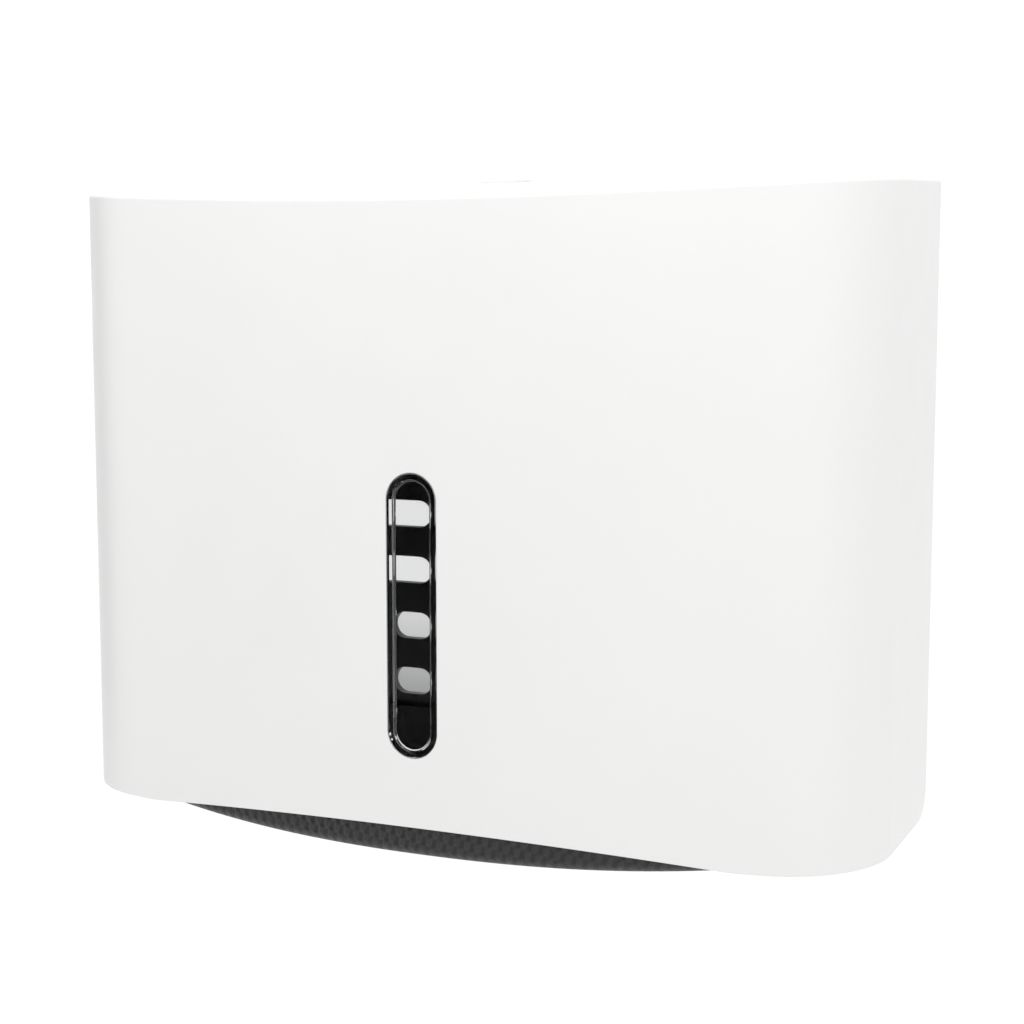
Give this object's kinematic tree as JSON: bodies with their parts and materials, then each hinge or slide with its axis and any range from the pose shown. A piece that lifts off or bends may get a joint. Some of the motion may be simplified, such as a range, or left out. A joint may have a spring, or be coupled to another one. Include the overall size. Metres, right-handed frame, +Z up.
{
  "type": "wall-mounted folded paper towel dispenser",
  "caption": "Shallow wall-hung box with a curved hinged white cover, a clear pill-shaped level window, a dark back plate and a dark tray that dispenses folded towels below.",
  "frame": {"origin": "middle of the back plate's rear face, which lies flat on the wall, 99 mm above the cover's lower edge", "axes": "+Y points into the wall, +X to the right of someone facing the dispenser, +Z up"},
  "size_m": [0.27, 0.092, 0.208],
  "materials": {
    "white_shell": "satin moulded plastic, warm-free white",
    "white_lock_plastic": "semi-gloss white plastic",
    "dark_plastic": "fine matt, near black",
    "dark_textured_plastic": "near black with a fine embossed lozenge texture",
    "clear_plastic": "polished clear plastic",
    "nylon": "natural nylon",
    "steel": "zinc-plated steel"
  },
  "bodies": {
    "base": {"back_plate": "dark_plastic", "bottom_tray": "dark_textured_plastic", "tray_screw_1": "steel", "tray_screw_2": "steel", "tray_screw_3": "steel", "tray_screw_4": "steel", "hinge_pin_left": "steel", "hinge_pin_right": "steel", "hinge_washer_left": "nylon", "hinge_washer_right": "nylon", "lock_strike": "steel", "strike_screw_left": "steel", "strike_screw_right": "steel"},
    "cover": {"front_cover": "white_shell", "window_lens": "clear_plastic", "lock_housing": "white_lock_plastic", "lock_nut": "steel"},
    "lock": {"lock_barrel": "white_lock_plastic", "lock_cam": "steel", "cam_screw": "steel"}
  },
  "joints": [
    {"name": "cover_hinge", "type": "hinge", "parent": "base", "child": "cover", "pos_m": [0, -0.0105, -0.089], "axis": [1, 0, 0], "range_deg": [0, 85]},
    {"name": "lock_turn", "type": "hinge", "parent": "cover", "child": "lock", "pos_m": [0, -0.026, 0.0982], "axis": [0, 0, -1], "range_deg": [0, 90]}
  ]
}
